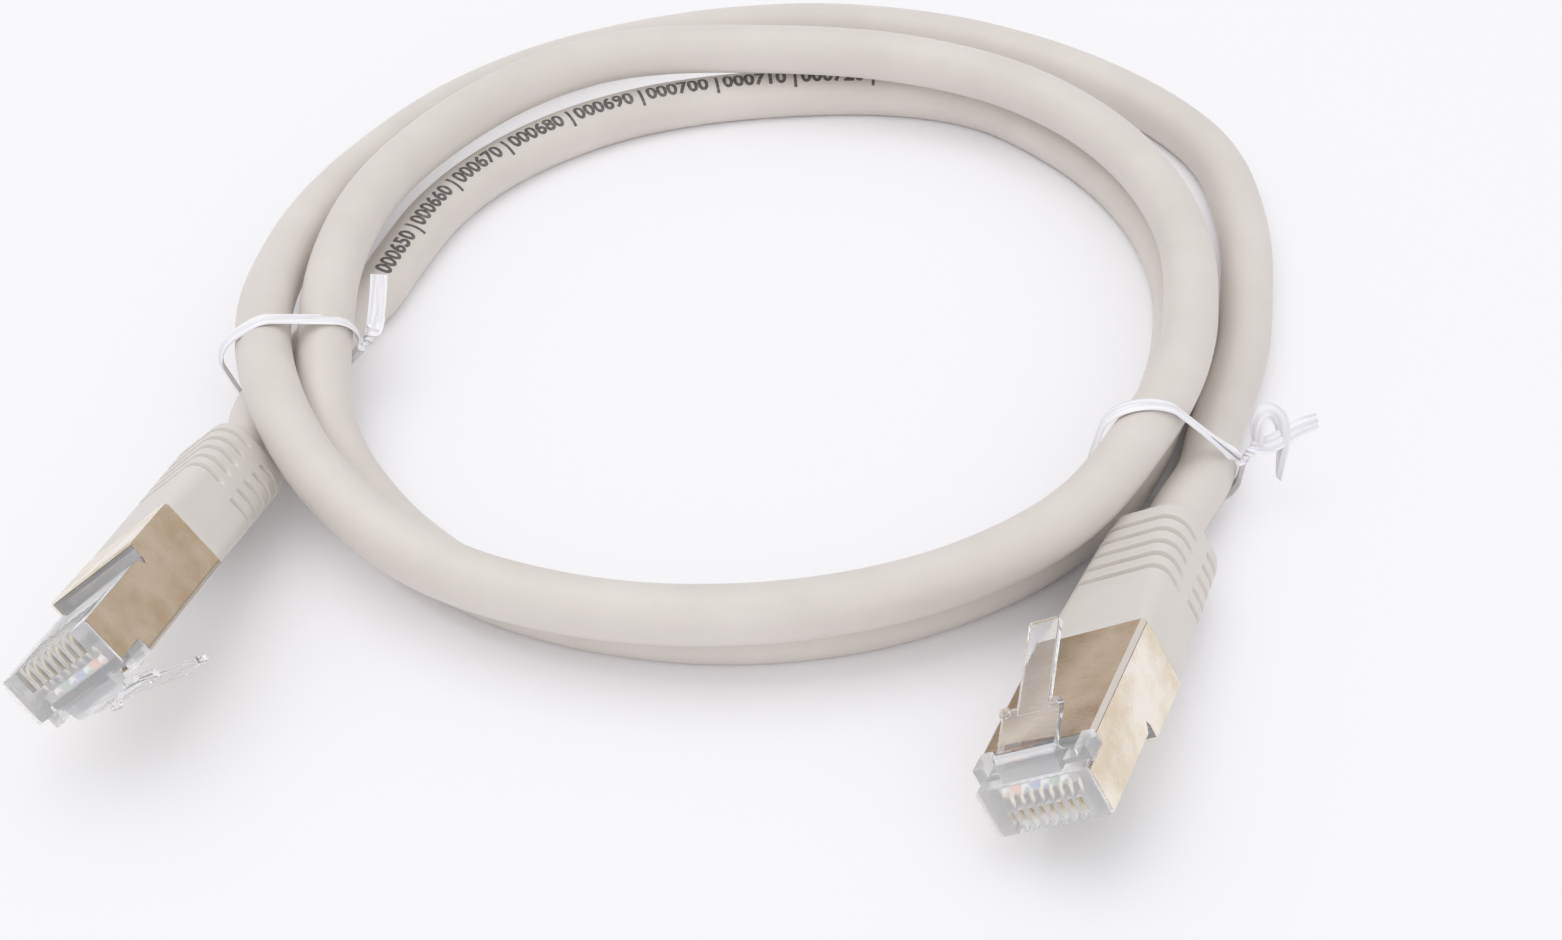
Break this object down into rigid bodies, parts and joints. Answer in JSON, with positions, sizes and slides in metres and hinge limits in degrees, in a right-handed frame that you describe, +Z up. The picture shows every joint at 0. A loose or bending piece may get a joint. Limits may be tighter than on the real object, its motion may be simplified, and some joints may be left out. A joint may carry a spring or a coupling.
{
  "type": "ethernet patch cable",
  "caption": "Round grey network patch cable wound into a coil and held by clear twist ties, with a shielded clear plug, sprung latch and ribbed boot on each end.",
  "frame": {"origin": "on the surface the cable lies on, under the middle of the box round the whole part", "axes": "+Z up; -Y towards the two plugs' noses; +X towards the plug that lies latch up"},
  "size_m": [0.1286, 0.1504, 0.0212],
  "materials": {
    "jacket": "soft satin PVC",
    "clear_plastic": "clear polycarbonate",
    "shield_metal": "gold-toned plated sheet, fine brushed",
    "contact_gold": "gold plated",
    "bar_plastic": "clear moulding",
    "boot_plastic": "soft moulded PVC",
    "foil": "thin foil",
    "tinned_wire": "tinned copper",
    "white_orange_insulation": "thin insulation",
    "orange_insulation": "thin insulation",
    "white_green_insulation": "thin insulation",
    "blue_insulation": "thin insulation",
    "white_blue_insulation": "thin insulation",
    "green_insulation": "thin insulation",
    "white_brown_insulation": "thin insulation",
    "brown_insulation": "thin insulation",
    "tie_plastic": "clear soft plastic",
    "tie_wire": "soft iron wire"
  },
  "bodies": {
    "cable": {"coil": "jacket", "lead_a": "jacket", "lead_b": "jacket", "housing_a": "clear_plastic", "shield_a": "shield_metal", "contacts_a": "contact_gold", "load_bar_a": "bar_plastic", "boot_a": "boot_plastic", "foil_screen_a": "foil", "drain_wire_a": "tinned_wire", "housing_b": "clear_plastic", "shield_b": "shield_metal", "contacts_b": "contact_gold", "load_bar_b": "bar_plastic", "boot_b": "boot_plastic", "foil_screen_b": "foil", "drain_wire_b": "tinned_wire", "white_orange_wire_a": "white_orange_insulation", "orange_wire_a": "orange_insulation", "white_green_wire_a": "white_green_insulation", "blue_wire_a": "blue_insulation", "white_blue_wire_a": "white_blue_insulation", "green_wire_a": "green_insulation", "white_brown_wire_a": "white_brown_insulation", "brown_wire_a": "brown_insulation", "white_orange_wire_b": "white_orange_insulation", "orange_wire_b": "orange_insulation", "white_green_wire_b": "white_green_insulation", "blue_wire_b": "blue_insulation", "white_blue_wire_b": "white_blue_insulation", "green_wire_b": "green_insulation", "white_brown_wire_b": "white_brown_insulation", "brown_wire_b": "brown_insulation", "left_tie_sheath": "tie_plastic", "left_tie_core": "tie_wire", "right_tie_sheath": "tie_plastic", "right_tie_core": "tie_wire"},
    "latch_lever_a": {"latch_a": "clear_plastic"},
    "latch_lever_b": {"latch_b": "clear_plastic"}
  },
  "joints": [
    {"name": "latch_a_press", "type": "hinge", "parent": "cable", "child": "latch_lever_a", "pos_m": [-0.05509, -0.0618, 0.01184], "axis": [0.7506, 0.0118, 0.6607], "range_deg": [0, 16], "stiffness_Nm_per_rad": 0.05},
    {"name": "latch_b_press", "type": "hinge", "parent": "cable", "child": "latch_lever_b", "pos_m": [0.02867, -0.06992, 0.01333], "axis": [-0.7986, 0.2556, -0.5449], "range_deg": [0, 16], "stiffness_Nm_per_rad": 0.05}
  ]
}
